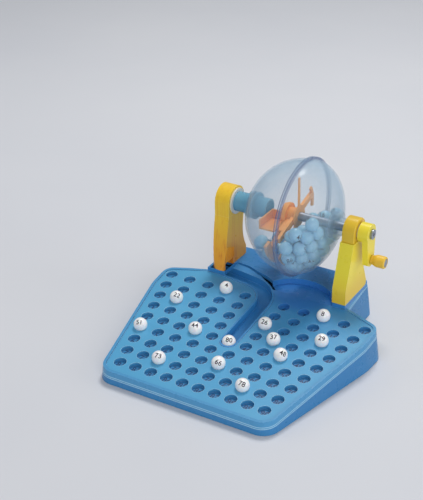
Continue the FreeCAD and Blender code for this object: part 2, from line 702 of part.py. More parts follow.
def finger(name, label, x, thick, begin, end, degrees, extra=()):
    """A curved finger that rakes the balls, on a short arm from the blade's root."""
    sweep = arc_bar(name + "_sweep", x, thick, 38.0, 46.0, begin, end)
    arm = radial_bar(name + "_arm", x, thick, 10.0, 39.5, degrees, 2.6, 3.4)
    boss = rod(name + "_boss", 10.4, thick, on_axle(x))
    bore = rod(name + "_bore", HUB_WIDE + 0.05, thick + 2, on_axle(x - 1))
    return node(cut(name, fuse(name + "_solid", [sweep, arm, boss, *extra]), bore), label)


finger("rake_left", "left_rake", -1.3, 3.0, 198.0, 238.0, 214.0)
stay = radial_bar("rake_stay", 10.0, 1.4, 9.0, 38.0, 92.0, 1.3, 1.0)
finger("rake_right", "right_rake", 10.0, 1.4, 214.0, 246.0, 232.0, [stay])

# ladle: a scoop open to the front that lifts one ball at a time to the tube's mouth
LADLE_FROM = -17.0
ladle_block = box("ladle_block", (LADLE_FROM, val("axley") - 24.0, val("axlez") - 9.0), (15.4, 26.0, 9.0))
ladle_room_start = (LADLE_FROM + 1.4, val("axley") - 26.0, val("axlez") - 7.4)
ladle_room = box("ladle_room", ladle_room_start, (16.0, 26.4, 12.0))
ladle_ring = rod("ladle_ring", HUB_WIDE + 2.4, 2.0, on_axle(-3.7))
ladle_bore = rod("ladle_bore", "Sizes.axlewide + 0.05", 12, on_axle(-8))
ladle_cup = cut("ladle_cup", ladle_block, ladle_room)
node(cut("ladle", fuse("ladle_solid", [ladle_cup, ladle_ring]), ladle_bore), "ball_ladle")

# ---------------------------------------------------------------- crank
ARM_X = 76.0
ARM_THICK = 5.6
boss_start = 71.8
crank_boss = rod("crank_boss", "Sizes.bosswide", AXLE_END - boss_start, on_axle(boss_start))
GRIP_BACK = 3.0            # the arm hangs a little backwards
grip_centre = (val("axley") + GRIP_BACK, val("axlez") - val("crankdrop"))
arm = prism("crank_plate", round_loop([
    (grip_centre[0] - 6.0, grip_centre[1] - 6.2, 5.8), (grip_centre[0] + 6.0, grip_centre[1] - 6.2, 5.8),
    (val("axley") + 8.9, val("axlez") + 1.0, 0.5), (val("axley") - 8.9, val("axlez") + 1.0, 0.5),
]), ARM_THICK, side_view(ARM_X))
crank_bore = rod("crank_bore", "Sizes.axlewide + 0.05", 30, on_axle(boss_start - 5))
pin_hole = rod("pin_hole", "Sizes.pinwide + 0.05", 30, (ARM_X - 5,) + grip_centre)
node(cut("crank", fuse("crank_solid", [crank_boss, arm]), fuse("crank_tools", [crank_bore, pin_hole])),
     "crank_arm")

crank_head = rod("crank_head", 4.6, 2.0, on_axle(AXLE_END + 0.05))
shank_start = AXLE_END + 0.6 - SCREW_DEEP
crank_shank = rod("crank_shank", "Sizes.screwshank", SCREW_DEEP - 0.5, on_axle(shank_start))
node(fuse("crank_fixing", [crank_head, crank_shank]), "crank_screw")

GRIP_START = ARM_X + ARM_THICK + 0.4
GRIP_LONG = 13.6
grip_barrel = doc.addObject("PartDesign::Body", "grip_body")
grip_sketch = grip_barrel.newObject("Sketcher::SketchObject", "grip_sketch")
grip_plane = [feature for feature in grip_barrel.Origin.OriginFeatures if feature.Role == "XY_Plane"][0]
grip_sketch.AttachmentSupport = (grip_plane, [""])
grip_sketch.MapMode = "FlatFace"
grip_wide = val("gripwide")
grip_bore = val("pinwide") + val("running")
for curve in round_loop([
    (0, grip_bore, 0), (GRIP_LONG - 1.8, grip_bore, 0), (GRIP_LONG - 1.8, grip_bore + 1.9, 0),
    (GRIP_LONG, grip_bore + 1.9, 0), (GRIP_LONG, grip_wide, 1.4), (4.5, grip_wide, 6),
    (2.2, grip_wide - 1.4, 4), (0, grip_wide - 1.4, 0.6),
]):
    grip_sketch.addGeometry(curve, False)
grip_turn = grip_barrel.newObject("PartDesign::Revolution", "grip_turn")
grip_turn.Profile = grip_sketch
grip_turn.ReferenceAxis = (grip_sketch, ["H_Axis"])
grip_turn.Angle = 360
grip_barrel.Tip = grip_turn
grip_barrel.Placement = Placement(V(GRIP_START, *grip_centre), Rotation())
node(grip_barrel, "crank_grip")

pin_length = GRIP_START + GRIP_LONG - 1.6 - (ARM_X + 0.3)
pin_shank = rod("pin_shank", "Sizes.pinwide", pin_length, (ARM_X + 0.3,) + grip_centre)
pin_head = rod("pin_head", "Sizes.pinwide + 1.5", 1.5, (GRIP_START + GRIP_LONG - 1.6,) + grip_centre)
node(fuse("pin", [pin_shank, pin_head]), "grip_pin")

# ---------------------------------------------------------------- screws as pieces
node(group("board_screw_group", [screw(f"board_screw_{i}", x, y, SCREW_SEAT, top + 2.6)
                                 for i, (x, y, top) in enumerate(board_screw_places)]), "board_screws")
node(group("lid_screw_group", [screw(f"lid_screw_{i}", x, y, SCREW_SEAT, lid_bottom + 2.4)
                               for i, (x, y) in enumerate(LID_SCREWS)]), "platform_screws")
node(group("upright_screw_group", [screw(f"upright_screw_{i}", x, y, lid_bottom - 0.05, top + 5.5)
                                   for i, (x, y) in enumerate(UPRIGHT_SCREWS)]), "upright_screws")


# ---------------------------------------------------------------- balls
def ball(name, centre):
    """One numbered ball."""
    sphere = doc.addObject("Part::Sphere", name)
    bind(sphere, {"Radius": "Sizes.ballwide / 2"})
    sphere.Placement = Placement(centre, Rotation())
    return sphere


BALL = val("ballwide") / 2
REST_GAP = 0.33            # a drawn ball sits this far above the line where it would touch its socket
socket_seat = math.sqrt(BALL ** 2 - (val("socketwide") / 2) ** 2) + REST_GAP
DRAWN = (4, 8, 22, 26, 29, 37, 44, 48, 51, 66, 73, 78)
places = socket_places()
for number in DRAWN:
    x, slope = places[number - 1]
    node(ball(f"drawn_{number}", on_deck(socket_seat).multVec(V(x, slope, 0))), f"ball_{number:02d}")
stop_place = on_deck(BALL - val("groovedeep") + 0.15).multVec(V(0, 4 * val("pitch"), 0))
node(ball("last_ball", stop_place), "chute_ball")

IN_GLOBE = 54              # the heap comes up to the axle, no higher
WALL_GAP = 0.45
SWEPT_LEFT = -1.6          # the mixer's rakes pass between these two x
SWEPT_RIGHT = 13.5
HEAP_LEFT = 8              # balls on the tube's side of the mixer
SETTLING = 900             # steps with gravity
SPREADING = 100            # steps without it, to end with no ball inside another
GENTLE = 0.3               # how far the balls fall in the first step
PASSES = 4                 # rounds of pushing apart in each step
LADLE_REACH = 27.5         # nothing of the ladle or wing passes outside this radius


AXLE_KEEP_OUT = val("axlewide") + BALL + 1
HUB_KEEP_OUT = val("hubwide") + 4 + BALL + 0.4
HUB_FROM = right_pole - 5 - BALL - 0.3


INSET = val("domewall") + BALL + WALL_GAP
DEEP_LEFT = val("globeleft") - INSET
DEEP_RIGHT = val("globeright") - INSET
WIDE = val("globewide") - INSET


def in_bounds(x, y, z):
    """Move a ball's centre back inside the globe and off the mixer's path."""
    deep, wide = (DEEP_LEFT if x < 0 else DEEP_RIGHT), WIDE
    push = math.sqrt((x / deep) ** 2 + (y * y + z * z) / wide ** 2)
    if push > 1:
        x, y, z = x / push, y / push, z / push
    at_x = x + val("globex")
    if at_x > (SWEPT_LEFT + SWEPT_RIGHT) / 2:
        at_x = max(at_x, SWEPT_RIGHT + BALL + 0.2)
        keep_out = HUB_KEEP_OUT if at_x > HUB_FROM else AXLE_KEEP_OUT
    else:
        at_x = min(at_x, SWEPT_LEFT - BALL - 0.2)
        keep_out = LADLE_REACH + BALL
    spread = math.hypot(y, z)
    if spread < keep_out:
        y, z = y * keep_out / spread, z * keep_out / spread
    return at_x - val("globex"), y, z


def heap(left, right):
    """Centres of the balls lying in the globe, settled by small steps of gravity and pushing apart."""
    dice = random.Random(5)
    spots = []
    for i in range(left + right):
        x = dice.uniform(-DEEP_LEFT, -DEEP_LEFT / 2) if i < left else dice.uniform(0, DEEP_RIGHT)
        start = (x, dice.uniform(-WIDE, WIDE) * 0.8, dice.uniform(-WIDE, -10))
        spots.append(list(in_bounds(*start)))
    closest = 2 * BALL + 0.12
    for step in range(SETTLING + SPREADING):
        if step < SETTLING:
            fall = GENTLE * (1 - step / SETTLING)
            for spot in spots:
                spot[0] += fall * 0.12
                spot[1] -= fall * 0.22
                spot[2] -= fall
        for _ in range(PASSES):
            for i, a in enumerate(spots):
                for b in spots[:i]:
                    dx, dy, dz = a[0] - b[0], a[1] - b[1], a[2] - b[2]
                    apart2 = dx * dx + dy * dy + dz * dz
                    if apart2 < closest * closest:
                        apart = math.sqrt(apart2) + 1e-9
                        share = (closest - apart) / apart / 2
                        a[0] += dx * share
                        a[1] += dy * share
                        a[2] += dz * share
                        b[0] -= dx * share
                        b[1] -= dy * share
                        b[2] -= dz * share
            for spot in spots:
                spot[:] = in_bounds(*spot)
    return [V(x + val("globex"), y + val("axley"), z + val("axlez")) for x, y, z in spots]


heap_balls = [ball(f"heap_{i}", centre) for i, centre in enumerate(heap(HEAP_LEFT, IN_GLOBE - HEAP_LEFT))]
node(group("heap_group", heap_balls), "cage_balls")

# ---------------------------------------------------------------- check and write
doc.recompute()
for thing in doc.Objects:
    if "Invalid" in thing.State or "Error" in thing.State:
        raise RuntimeError(f"{thing.Label} did not build: {thing.State}")
os.makedirs("parts", exist_ok=True)
for thing in NODES:
    shape = thing.Shape
    if shape.isNull() or not shape.isValid():
        raise RuntimeError(f"{thing.Label} is not a valid shape")
    shape.exportStep(f"parts/{thing.Label}.step")
    limits = shape.BoundBox
    print(f"{thing.Label:16s} solids {len(shape.Solids):3d}  volume {shape.Volume / 1000:8.2f} cm3"
          f"  x {limits.XMin:7.1f} {limits.XMax:7.1f}  y {limits.YMin:7.1f} {limits.YMax:7.1f}"
          f"  z {limits.ZMin:7.1f} {limits.ZMax:7.1f}")
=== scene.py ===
# %% [markdown]
# # A bingo cage in moulded plastic
# The real thing is a toy: a clear globe of numbered balls turns on two yellow uprights behind a
# sloping blue board. The engineering model already fixes every size and every moving body, so this
# file only adds looks: softened edges, printed numbers, moulded ribs, plastics, light and a camera.
# Each cell does one small job, and prints what it made.

# %% Load the engineering model
import json
import math
import random

import bmesh
import bpy
import numpy as np
from mathutils import Matrix, Vector


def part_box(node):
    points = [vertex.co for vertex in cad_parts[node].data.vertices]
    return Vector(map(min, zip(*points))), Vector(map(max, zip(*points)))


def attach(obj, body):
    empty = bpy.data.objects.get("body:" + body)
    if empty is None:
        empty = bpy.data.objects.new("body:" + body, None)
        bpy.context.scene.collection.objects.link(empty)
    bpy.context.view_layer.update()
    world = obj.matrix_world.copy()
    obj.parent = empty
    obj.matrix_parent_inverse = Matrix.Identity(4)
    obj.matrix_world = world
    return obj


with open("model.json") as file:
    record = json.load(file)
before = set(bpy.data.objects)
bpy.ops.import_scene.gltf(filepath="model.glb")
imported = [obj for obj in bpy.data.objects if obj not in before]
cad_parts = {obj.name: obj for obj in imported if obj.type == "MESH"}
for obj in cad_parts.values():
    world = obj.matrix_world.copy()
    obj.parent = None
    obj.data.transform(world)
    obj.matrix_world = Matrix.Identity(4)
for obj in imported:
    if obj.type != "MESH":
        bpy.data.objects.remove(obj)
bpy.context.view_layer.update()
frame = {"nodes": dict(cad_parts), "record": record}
NODES = frame["nodes"]

# %% [markdown]
# ## Where things are
# The board is a plane that slopes up away from the player. Its angle could be typed in, but then it
# could disagree with the engineering model, so it is found from two balls that lie on the board. A
# place on the board is then two distances, across and up the slope, plus a height above the surface.

# %% Find the board's plane
MM = 0.001
BALL_RADIUS = (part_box("ball_04")[1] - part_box("ball_04")[0]).x / 2
ROW_PITCH = 16 * MM
SOCKET_DEEP = 3.4 * MM
SOCKET_RADIUS = 5.5 * MM
REST_GAP = 0.33 * MM        # a drawn ball sits this far above the line where it would touch its socket
ROWS = 9
HALF_ROW = 5                # places each side of the chute, in the rows that it divides
CHUTE_ROWS = 5              # rows that the chute divides
FAN_BASE = 4.362            # half width of the front row of sockets, in row pitches
FAN_STEP = 0.227            # what each row further back adds to that


def middle(node):
    low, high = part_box(node)
    return (low + high) / 2


low_ball, high_ball = middle("ball_78"), middle("ball_08")
TILT = math.atan2(high_ball.z - low_ball.z, high_ball.y - low_ball.y)
UP_SLOPE = Vector((0, math.cos(TILT), math.sin(TILT)))
DECK_NORMAL = Vector((0, -math.sin(TILT), math.cos(TILT)))
print("slope of the board:", round(math.degrees(TILT), 2), "degrees")

# %% [markdown]
# ## Socket places
# Ninety sockets sit in nine rows of ten. The rows fan out a little towards the back, and the five
# back rows leave a gap in the middle for the chute. A list of ninety centres would be long and easy
# to get wrong; one rule gives them all.

# %% Work out the ninety socket places
SEAT_HEIGHT = math.sqrt(BALL_RADIUS ** 2 - SOCKET_RADIUS ** 2) + REST_GAP
ROW_NINE = low_ball - DECK_NORMAL * SEAT_HEIGHT - UP_SLOPE * ROW_PITCH
FRONT_OF_DECK = Vector((0, ROW_NINE.y, ROW_NINE.z))


def on_deck(across, up, height=0.0):
    """A point on the board: metres across, up the slope and above the surface."""
    return FRONT_OF_DECK + Vector((across, 0, 0)) + UP_SLOPE * up + DECK_NORMAL * height


def socket_places():
    """Every socket's distance across and up the slope, from the back row to the front."""
    places = []
    full_middle = HALF_ROW - 0.5
    for rank in range(ROWS):
        ahead = ROWS - 1 - rank
        half = (FAN_BASE + FAN_STEP * ahead) * ROW_PITCH
        for place in range(2 * HALF_ROW):
            if rank >= CHUTE_ROWS:
                step = (place - full_middle) / full_middle
            elif place < HALF_ROW:
                step = (place - HALF_ROW) / HALF_ROW
            else:
                step = (place - HALF_ROW + 1) / HALF_ROW
            places.append((half * step, ahead * ROW_PITCH))
    return places


SOCKETS = socket_places()
print("sockets:", len(SOCKETS), "front of deck:", FRONT_OF_DECK)

# %% [markdown]
# ## Shader tools
# Every finish below is a Principled shader fed by small node groups. Such trees can be clicked
# together by hand, but in a script each node costs several lines. Helpers that add one node, set its
# inputs and hand back its output keep the recipes short enough to read as recipes.


# %% Helpers for building node trees
def fill(tree, node, **sockets):
    """Link or set inputs of a node; names use _ for spaces, and i0 is the first input."""
    for key, value in sockets.items():
        numbered = key[0] == "i" and key[1:].isdigit()
        socket = node.inputs[int(key[1:]) if numbered else key.replace("_", " ")]
        if isinstance(value, bpy.types.NodeSocket):
            tree.links.new(value, socket)
        else:
            socket.default_value = value


def add_node(tree, kind, settings=None, **sockets):
    """A node with its properties and input values set."""
    node = tree.nodes.new(kind)
    for key, value in (settings or {}).items():
        setattr(node, key, value)
    fill(tree, node, **sockets)
    return node


def new_group(name, inputs, outputs):
    """An empty node group with named sockets, and its input and output nodes."""
    group = bpy.data.node_groups.new(name, "ShaderNodeTree")
    for label, kind, value in inputs:
        socket = group.interface.new_socket(label, in_out="INPUT", socket_type=kind)
        socket.default_value = value
    for label, kind in outputs:
        group.interface.new_socket(label, in_out="OUTPUT", socket_type=kind)
    return group, group.nodes.new("NodeGroupInput"), group.nodes.new("NodeGroupOutput")


FLOAT, COLOUR = "NodeSocketFloat", "NodeSocketColor"
print("tree helpers ready")

# %% [markdown]
# ## Values that recipes are made of
# A recipe keeps asking for the same few values: the place on the object, a noise, a value moved to
# another range, a sum, a mix of two colours. Each gets a helper that returns the output itself, so
# one helper's result goes straight into the next.


# %% Helpers that return a value
def on_object(tree):
    """The place on the object, in metres."""
    return add_node(tree, "ShaderNodeTexCoord").outputs["Object"]


def along(tree, axis):
    """One coordinate of the place on the object."""
    return add_node(tree, "ShaderNodeSeparateXYZ", Vector=on_object(tree)).outputs[axis]


def noise(tree, place, **sockets):
    return add_node(tree, "ShaderNodeTexNoise", Vector=place, **sockets).outputs["Fac"]


def remap(tree, value, settings=None, **sockets):
    """A value moved from one range to another."""
    return add_node(tree, "ShaderNodeMapRange", settings, Value=value, **sockets).outputs["Result"]


def maths(tree, operation, *values, **settings):
    """The result of one Math node."""
    inputs = {f"i{place}": value for place, value in enumerate(values)}
    node = add_node(tree, "ShaderNodeMath", {"operation": operation, **settings}, **inputs)
    return node.outputs["Value"]


def vector_maths(tree, operation, first, second, output="Value"):
    """The result of one Vector Math node."""
    node = add_node(tree, "ShaderNodeVectorMath", {"operation": operation}, i0=first, i1=second)
    return node.outputs[output]


def blend(tree, part, first, second):
    """The first colour going over to the second as part goes from 0 to 1."""
    mix = add_node(tree, "ShaderNodeMix", {"data_type": "RGBA"}, i0=part, i6=first, i7=second)
    return mix.outputs[2]


SMOOTH = {"interpolation_type": "SMOOTHSTEP"}
print("value helpers ready")

# %% [markdown]
# ## Effect: cloudy colour
# Injection-moulded plastic is never one flat colour: the dye swirls a little where the plastic
# flowed. A painted texture could show that, but a slow noise that mixes the colour with a deeper one
# needs no image. It is a group because every plastic here uses it, each with its own amount.


# %% Build the cloudy colour group
def cloudy_colour_group():
    group, gin, gout = new_group(
        "cloudy_colour",
        [("Colour", COLOUR, (1, 1, 1, 1)), ("Deep colour", COLOUR, (0, 0, 0, 1)),
         ("Size", FLOAT, 20.0), ("Amount", FLOAT, 0.3)],
        [("Colour", COLOUR)])
    swirl = noise(group, on_object(group), Scale=gin.outputs["Size"], Detail=3.0, Roughness=0.55)
    spread = remap(group, swirl, From_Min=0.35, From_Max=0.7)
    amount = maths(group, "MULTIPLY", spread, gin.outputs["Amount"])
    mixed = blend(group, amount, gin.outputs["Colour"], gin.outputs["Deep colour"])
    fill(group, gout, Colour=mixed)
    return group


CLOUDY_COLOUR = cloudy_colour_group()
print("group:", CLOUDY_COLOUR.name)

# %% [markdown]
# ## Effect: mould grain
# The steel mould is spark-eroded, which leaves a fine orange-peel skin. Real bumps that small would
# take millions of faces. Two noises, one fine and one wide, give a height for a Bump node instead,
# and a value that breaks up the gloss.


# %% Build the mould grain group
def mould_grain_group():
    group, gin, gout = new_group(
        "mould_grain",
        [("Grain", FLOAT, 2600.0), ("Wave", FLOAT, 90.0), ("Base roughness", FLOAT, 0.3),
         ("Roughness spread", FLOAT, 0.15)],
        [("Height", FLOAT), ("Roughness", FLOAT)])
    where = on_object(group)
    fine = noise(group, where, Scale=gin.outputs["Grain"], Detail=2.0, Roughness=0.6)
    wide = noise(group, where, Scale=gin.outputs["Wave"], Detail=2.0, Roughness=0.5)
    height = maths(group, "MULTIPLY_ADD", wide, 2.5, fine)
    centred = maths(group, "SUBTRACT", wide, 0.5)
    rough = maths(group, "MULTIPLY_ADD", centred, gin.outputs["Roughness spread"],
                  gin.outputs["Base roughness"])
    fill(group, gout, Height=height, Roughness=rough)
    return group


MOULD_GRAIN = mould_grain_group()
print("group:", MOULD_GRAIN.name)

# %% [markdown]
# ## Effect: painted edge highlights
# Edges of a moulding catch the light. Here that is a painted highlight: a paler edge colour mixed into
# the colour along every edge. It could be painted by hand on each piece. The Bevel node does it for
# all: it turns the normal near an edge, and where that normal differs from the flat one, there is an edge.


# %% Build the painted edge highlight group
def bright_edges_group():
    group, gin, gout = new_group(
        "painted_edge_highlight",
        [("Colour", COLOUR, (1, 1, 1, 1)), ("Edge colour", COLOUR, (1, 1, 1, 1)),
         ("Width", FLOAT, 0.0006), ("Amount", FLOAT, 0.5)],
        [("Colour", COLOUR), ("Mask", FLOAT)])
    rounded = add_node(group, "ShaderNodeBevel", {"samples": 4}, Radius=gin.outputs["Width"])
    flat = add_node(group, "ShaderNodeNewGeometry")
    match = vector_maths(group, "DOT_PRODUCT", rounded.outputs["Normal"], flat.outputs["Normal"])
    edge = remap(group, match, From_Min=0.995, From_Max=0.8)
    amount = maths(group, "MULTIPLY", edge, gin.outputs["Amount"])
    mixed = blend(group, amount, gin.outputs["Colour"], gin.outputs["Edge colour"])
    fill(group, gout, Colour=mixed, Mask=edge)
    return group


PAINTED_EDGE_HIGHLIGHT = bright_edges_group()
print("group:", PAINTED_EDGE_HIGHLIGHT.name)

# %% [markdown]
# ## Effect: fine scratches
# Handling leaves hair-thin marks. A noise stretched many times along one way gives streaks, and a
# narrow band of it gives thin lines. They change the gloss, and how clear the globe is, but never
# the colour.


# %% Build the fine scratches group
def fine_scratches_group():
    group, gin, gout = new_group(
        "fine_scratches", [("Amount", FLOAT, 0.3), ("Density", FLOAT, 40.0)], [("Mask", FLOAT)])
    turned = add_node(group, "ShaderNodeMapping", Vector=on_object(group),
                      Rotation=(0.4, 0.7, 0.5), Scale=(1.0, 34.0, 14.0))
    streaks = noise(group, turned.outputs["Vector"], Scale=gin.outputs["Density"], Detail=1.0,
                    Roughness=0.4)
    thin = maths(group, "COMPARE", streaks, 0.5, 0.006)
    fill(group, gout, Mask=maths(group, "MULTIPLY", thin, gin.outputs["Amount"]))
    return group


FINE_SCRATCHES = fine_scratches_group()
print("group:", FINE_SCRATCHES.name)

# %% [markdown]
# ## One recipe for opaque plastic
# Most pieces are coloured plastic from the same kind of mould. Writing each material from scratch
# would repeat the tree; one recipe takes the three colours and the gloss, and puts the
# four effects together in the same way each time.


# %% Put the groups together for one plastic
def use_group(tree, group, **sockets):
    return add_node(tree, "ShaderNodeGroup", {"node_tree": group}, **sockets)


def start_material(name):
    material = bpy.data.materials.new(name)
    material.use_nodes = True
    return material, material.node_tree, material.node_tree.nodes["Principled BSDF"]


def rgb(red, green, blue):
    """A colour as the eye reads it (0 to 255), turned into the light values that shaders use."""
    return tuple((part / 255) ** 2.2 for part in (red, green, blue)) + (1.0,)


def skin_normal(tree, skin, strength, distance):
    """The grain's height as a normal."""
    bump = add_node(tree, "ShaderNodeBump", Strength=strength, Distance=distance,
                    Height=skin.outputs["Height"])
    return bump.outputs["Normal"]


def worn_gloss(tree, skin, marks):
    """The grain's roughness, rougher still along the scratches."""
    return maths(tree, "ADD", skin.outputs["Roughness"], marks.outputs["Mask"], use_clamp=True)


def moulded_plastic(name, colour, deep, edge, roughness=0.28, edge_highlight_amount=0.6):
    """Opaque moulded plastic: cloudy colour, painted edge highlight (edge colour), mould grain, fine
    scratches.
    """
    material, tree, shader = start_material(name)
    cloudy = use_group(tree, CLOUDY_COLOUR, Colour=colour, Deep_colour=deep, Size=14.0, Amount=0.35)
    edges = use_group(tree, PAINTED_EDGE_HIGHLIGHT, Colour=cloudy.outputs["Colour"], Edge_colour=edge,
                      Amount=edge_highlight_amount)
    skin = use_group(tree, MOULD_GRAIN, Base_roughness=roughness)
    marks = use_group(tree, FINE_SCRATCHES, Amount=0.05)
    fill(tree, shader, Base_Color=edges.outputs["Colour"], Roughness=worn_gloss(tree, skin, marks),
         Normal=skin_normal(tree, skin, 0.25, 0.00008), Specular_IOR_Level=0.35)
    return material


def mix_in(material, part, colour):
    """Mix one more colour into a material, by a value from 0 to 1."""
    tree = material.node_tree
    base = tree.nodes["Principled BSDF"].inputs["Base Color"]
    tree.links.new(blend(tree, part, base.links[0].from_socket, colour), base)


print("plastic recipe ready")

# %% [markdown]
# ## Blue plastics
# The base is a clear mid blue, the board a paler sky blue and the chute a deeper one. They share the
# recipe and differ in colour. The third colour of each is its painted edge highlight.

# %% Mix the blue plastics
TRAY_BLUE = moulded_plastic(
    "tray_blue_plastic", rgb(62, 132, 188), rgb(46, 110, 170), rgb(120, 188, 222))
PLATFORM_BLUE = moulded_plastic(
    "platform_blue_plastic", rgb(62, 134, 196), rgb(44, 108, 176), rgb(130, 194, 230))
CHUTE_BLUE = moulded_plastic(
    "chute_blue_plastic", rgb(62, 140, 202), rgb(48, 116, 182), rgb(132, 196, 232), roughness=0.36)
# the board's near-white painted edge highlight is stronger: painted highlights as pale crescents at the
# sockets' rims
BOARD_BLUE = moulded_plastic(
    "board_blue_plastic", rgb(86, 164, 208), rgb(66, 146, 198), rgb(206, 236, 248), roughness=0.34,
    edge_highlight_amount=0.9)
print("blue plastics:", TRAY_BLUE.name, PLATFORM_BLUE.name, CHUTE_BLUE.name, BOARD_BLUE.name)

# %% [markdown]
# ## Shade on the board and the recess
# Sockets look darker than the board's face, because little light gets into them, and the globe keeps
# light off what lies below it. A clear globe casts too weak a shadow of its own. So the colour goes
# deeper with depth below the face, and in soft round patches under the globe.

# %% Deepen the colour in the sockets and under the globe
FACE_LEVEL = FRONT_OF_DECK.dot(DECK_NORMAL)


def along_normal(tree):
    """How far a place lies along the board's normal; the board's face is at FACE_LEVEL."""
    return vector_maths(tree, "DOT_PRODUCT", on_object(tree), DECK_NORMAL)


def darken_sockets(material):
    """Below the board's face the colour goes deeper."""
    tree = material.node_tree
    sunk = remap(tree, along_normal(tree), From_Min=FACE_LEVEL - 0.2 * MM, From_Max=FACE_LEVEL - 2.4 * MM)
    mix_in(material, maths(tree, "MULTIPLY", sunk, 0.62), rgb(50, 116, 172))


def round_patch(material, core, reach, below, amount, colour):
    """A soft-edged round patch under the globe, on whatever lies below a height."""
    tree = material.node_tree
    flat = vector_maths(tree, "MULTIPLY", on_object(tree), (1, 1, 0), "Vector")
    away = vector_maths(tree, "DISTANCE", flat, UNDER_GLOBE)
    near = remap(tree, away, SMOOTH, From_Min=reach, From_Max=core, To_Max=amount)
    sunk = maths(tree, "LESS_THAN", along(tree, "Z"), below)
    mix_in(material, maths(tree, "MULTIPLY", near, sunk), colour)


UNDER_GLOBE = (0.027, 0.064, 0)
darken_sockets(BOARD_BLUE)
round_patch(BOARD_BLUE, 30 * MM, 110 * MM, 50 * MM, 0.5, rgb(52, 118, 184))
round_patch(BOARD_BLUE, 22 * MM, 38 * MM, 50 * MM, 0.85, rgb(54, 116, 190))
round_patch(PLATFORM_BLUE, 24 * MM, 40 * MM, 33.5 * MM, 0.85, rgb(60, 128, 206))
print("board's face at", round(FACE_LEVEL, 4), "along its normal")

# %% [markdown]
# ## Painted highlight on the base's lip
# The top of the base's skirt is painted paler than the rest: a painted highlight where the rim rounds
# over towards the light, down to a double line that is two painted highlights along a step in the
# moulding. A real step there would change the engineering model, so the lip is colour alone, measured
# down from the board's face so that it runs level with it all the way round.

# %% Add the painted highlight on the lip
LIP_DEPTH = 5.6 * MM       # from the board's face down to the lower line
LINE_GAP = 1.5 * MM


def pale_lip(material, rim_highlight_colour, highlight_line_colour):
    """Painted highlight: the rim and top of the skirt are painted near the board's colour, down to two
    painted highlight lines.
    """
    tree = material.node_tree
    level = along_normal(tree)
    edge = FACE_LEVEL - LIP_DEPTH
    lip = remap(tree, level, From_Min=edge - 0.3 * MM, From_Max=edge + 0.3 * MM, To_Max=0.85)
    mix_in(material, lip, rim_highlight_colour)
    for line_level in (edge, edge + LINE_GAP):
        line = maths(tree, "COMPARE", level, line_level, 0.35 * MM)
        mix_in(material, maths(tree, "MULTIPLY", line, 0.75), highlight_line_colour)


# painted highlight along the base's lip
pale_lip(TRAY_BLUE, rgb(84, 154, 202), rgb(168, 212, 234))
print("pale lip on", TRAY_BLUE.name)

# %% [markdown]
# ## Yellow and orange plastics
# The uprights and crank are a strong yellow, warmer on the tube's side. Low down the uprights fall in
# shade, so the colour goes over to a deeper amber towards their feet: painted shade, mixed in by height
# at no cost.


# %% Mix the yellow and orange plastics
def warm_foot(material, foot_shade_colour, top, bottom, amount):
    """Painted shade: deepen the colour towards the foot of a piece."""
    tree = material.node_tree
    low = remap(tree, along(tree, "Z"), SMOOTH, From_Min=top, From_Max=bottom)
    mix_in(material, maths(tree, "MULTIPLY", low, amount), foot_shade_colour)


def mould_streaks(material, colour, amount):
    """Upright streaks where the colour ran in the mould, strongest low down."""
    tree = material.node_tree
    stretched = add_node(tree, "ShaderNodeMapping", Vector=on_object(tree), Scale=(1.0, 1.0, 0.05))
    streaks = noise(tree, stretched.outputs["Vector"], Scale=420.0, Detail=2.0)
    strong = remap(tree, streaks, From_Min=0.52, From_Max=0.72)
    low = remap(tree, along(tree, "Z"), From_Min=0.1, From_Max=0.045, To_Min=0.15, To_Max=amount)
    mix_in(material, maths(tree, "MULTIPLY", strong, low), colour)


FOOT = 36 * MM
AMBER = moulded_plastic(
    "amber_plastic", rgb(246, 204, 60), rgb(236, 182, 50), rgb(252, 232, 130), roughness=0.3)
# painted shade towards the foot of the left upright
warm_foot(AMBER, rgb(236, 152, 52), 95 * MM, FOOT, 0.85)
mould_streaks(AMBER, rgb(206, 100, 40), 0.6)
YELLOW = moulded_plastic(
    "yellow_plastic", rgb(246, 228, 70), rgb(232, 206, 58), rgb(252, 242, 150), roughness=0.3)
# painted shade towards the foot of the right upright
warm_foot(YELLOW, rgb(224, 176, 56), 66 * MM, FOOT, 0.6)
# the right upright's head: a darker copy of the yellow, painted shade on the head
SHADED_HEAD_YELLOW = moulded_plastic(
    "shaded_head_yellow_plastic", rgb(232, 196, 60), rgb(216, 166, 56), rgb(240, 222, 120), roughness=0.3)
GRIP = moulded_plastic(
    "grip_plastic", rgb(238, 194, 70), rgb(224, 166, 60), rgb(248, 222, 130), roughness=0.36)
ORANGE = moulded_plastic(
    "orange_plastic", rgb(242, 166, 84), rgb(226, 128, 60), rgb(252, 212, 150), roughness=0.34)
print("yellow plastics:", AMBER.name, YELLOW.name, SHADED_HEAD_YELLOW.name, GRIP.name, ORANGE.name)

# %% [markdown]
# ## Clear globe
# The globe is clear styrene. Looked at straight on it almost vanishes, and at its rim it turns
# grey-blue. Real refraction would show that slowly and with noise; a Layer Weight into Alpha gives
# it at once. Scratches raise the alpha a little, and the two flanges at the seam show as a double
# line.

# %% Make the clear plastic
SEAM_HALF = 1.65 * MM      # half width of the two flanges together
GAP_HALF = 0.9 * MM        # half width of the paler stripe between them


